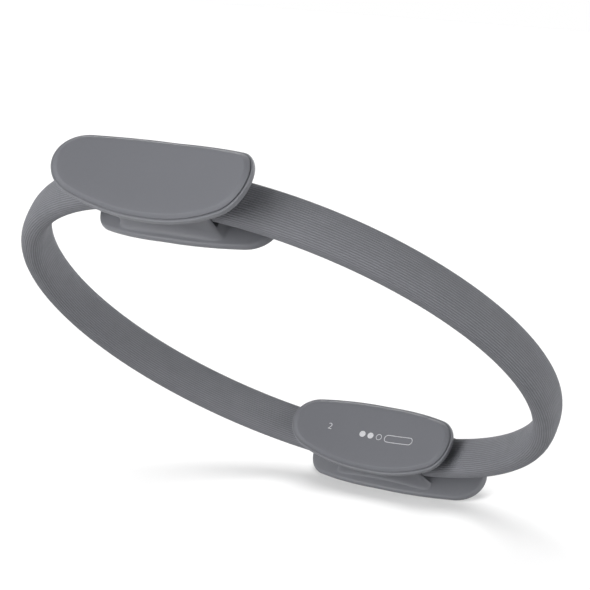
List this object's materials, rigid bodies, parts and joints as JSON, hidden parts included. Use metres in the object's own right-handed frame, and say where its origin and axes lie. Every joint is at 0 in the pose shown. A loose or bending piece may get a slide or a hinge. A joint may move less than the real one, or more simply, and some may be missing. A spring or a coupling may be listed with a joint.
{
  "type": "pilates ring",
  "caption": "Springy round hoop in ribbed grey sleeves, with a padded handle on each side that has a hollow outer pad and an inner pad, for squeezing and pulling exercises.",
  "frame": {"origin": "on the ring axis, in the plane that the long sides of the outer plates rest on", "axes": "+Z along the ring axis, +X towards the right handle, so that both handles lie on the X axis"},
  "size_m": [0.419, 0.38, 0.0552],
  "materials": {
    "sleeve": "matt ribbed soft grip",
    "pad": "fine matt soft skin",
    "plate": "satin moulded",
    "spring": "glass fibre, smooth",
    "liner": "matt",
    "clip": "rolled sheet",
    "fastener": "zinc plated"
  },
  "bodies": {
    "hoop": {"inner_spring_strip": "spring", "outer_spring_strip": "spring", "rear_sleeve": "sleeve", "front_sleeve": "sleeve", "left_outer_pad": "pad", "left_inner_pad": "pad", "left_outer_plate": "plate", "left_inner_saddle": "plate", "left_outer_liner": "liner", "left_inner_liner": "liner", "left_splice_clip": "clip", "left_clamp_screws": "fastener", "left_clamp_nuts": "fastener"},
    "right_handle": {"right_outer_pad": "pad", "right_inner_pad": "pad", "right_outer_plate": "plate", "right_inner_saddle": "plate", "right_outer_liner": "liner", "right_inner_liner": "liner", "right_splice_clip": "clip", "right_clamp_screws": "fastener", "right_clamp_nuts": "fastener"}
  },
  "joints": [
    {"name": "squeeze", "type": "slide", "parent": "hoop", "child": "right_handle", "axis": [1, 0, 0], "range_m": [-0.08, 0.025], "stiffness_N_per_m": 2100, "deforming": ["inner_spring_strip", "outer_spring_strip", "rear_sleeve", "front_sleeve"]}
  ]
}
